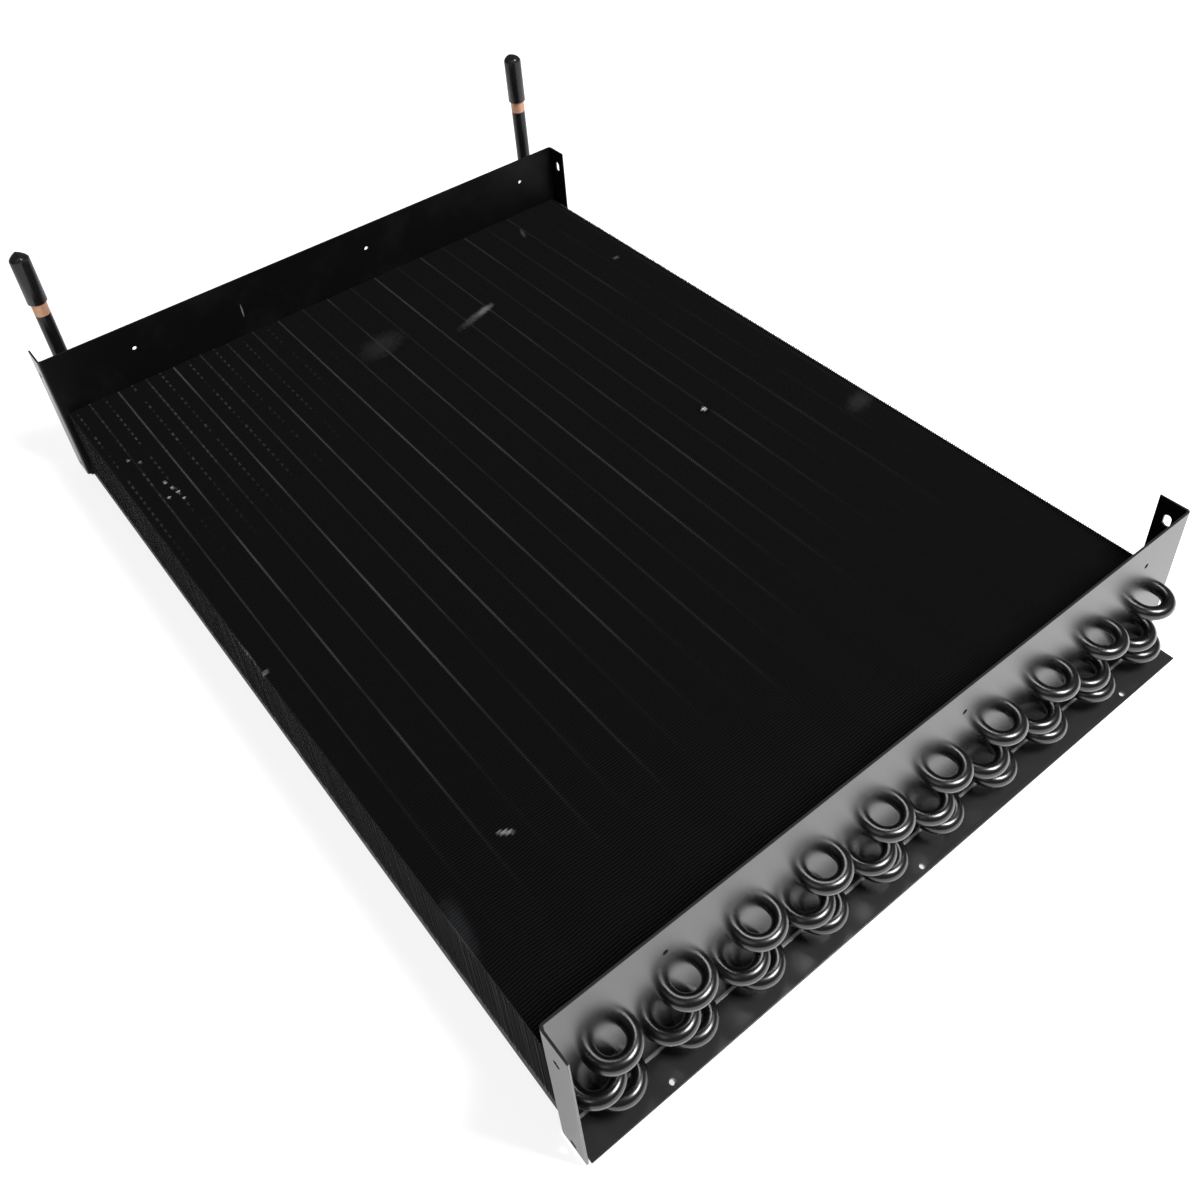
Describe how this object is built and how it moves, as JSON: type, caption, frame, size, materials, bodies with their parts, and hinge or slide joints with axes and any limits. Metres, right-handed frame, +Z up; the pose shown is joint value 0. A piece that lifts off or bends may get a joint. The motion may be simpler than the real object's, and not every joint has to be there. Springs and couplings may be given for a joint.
{
  "type": "finned condenser coil",
  "caption": "Finned tube condenser coil with three staggered tube rows between two folded end plates, hairpin bends at one end and two capped upright stubs at the other.",
  "frame": {"origin": "on the floor under the middle of the near plate's foot, half way along it and half way across its flat underside", "axes": "+X across the coil from the plates' left flanges to their slotted right flanges, +Y along the tubes from the hairpin bends towards the inlet and outlet, +Z up off the feet"},
  "size_m": [0.518, 0.7622, 0.2126],
  "materials": {
    "painted_plate": "gloss black paint on folded steel sheet",
    "painted_fins": "satin black paint on thin aluminium fins",
    "painted_tube": "gloss black paint on copper tube",
    "stub_tube": "gloss black paint up to a bare copper band below the cap",
    "cap": "glossy soft black plastic"
  },
  "bodies": {
    "root": {"near_end_plate": "painted_plate", "far_end_plate": "painted_plate", "fin_pack": "painted_fins", "inlet_stub": "stub_tube", "outlet_stub": "stub_tube", "inlet_cap": "cap", "outlet_cap": "cap", "hairpin_top_01": "painted_tube", "hairpin_top_02": "painted_tube", "hairpin_top_03": "painted_tube", "hairpin_top_04": "painted_tube", "hairpin_top_05": "painted_tube", "hairpin_top_06": "painted_tube", "hairpin_top_07": "painted_tube", "hairpin_top_08": "painted_tube", "hairpin_top_09": "painted_tube", "hairpin_top_10": "painted_tube", "return_bends_top": "painted_tube", "hairpin_middle_01": "painted_tube", "hairpin_middle_02": "painted_tube", "hairpin_middle_03": "painted_tube", "hairpin_middle_04": "painted_tube", "hairpin_middle_05": "painted_tube", "hairpin_middle_06": "painted_tube", "hairpin_middle_07": "painted_tube", "hairpin_middle_08": "painted_tube", "hairpin_middle_09": "painted_tube", "hairpin_middle_10": "painted_tube", "return_bends_middle": "painted_tube", "hairpin_bottom_01": "painted_tube", "hairpin_bottom_02": "painted_tube", "hairpin_bottom_03": "painted_tube", "hairpin_bottom_04": "painted_tube", "hairpin_bottom_05": "painted_tube", "hairpin_bottom_06": "painted_tube", "hairpin_bottom_07": "painted_tube", "hairpin_bottom_08": "painted_tube", "hairpin_bottom_09": "painted_tube", "hairpin_bottom_10": "painted_tube", "return_bends_bottom": "painted_tube", "crossover_bend_right": "painted_tube", "crossover_bend_left": "painted_tube"}
  },
  "joints": []
}
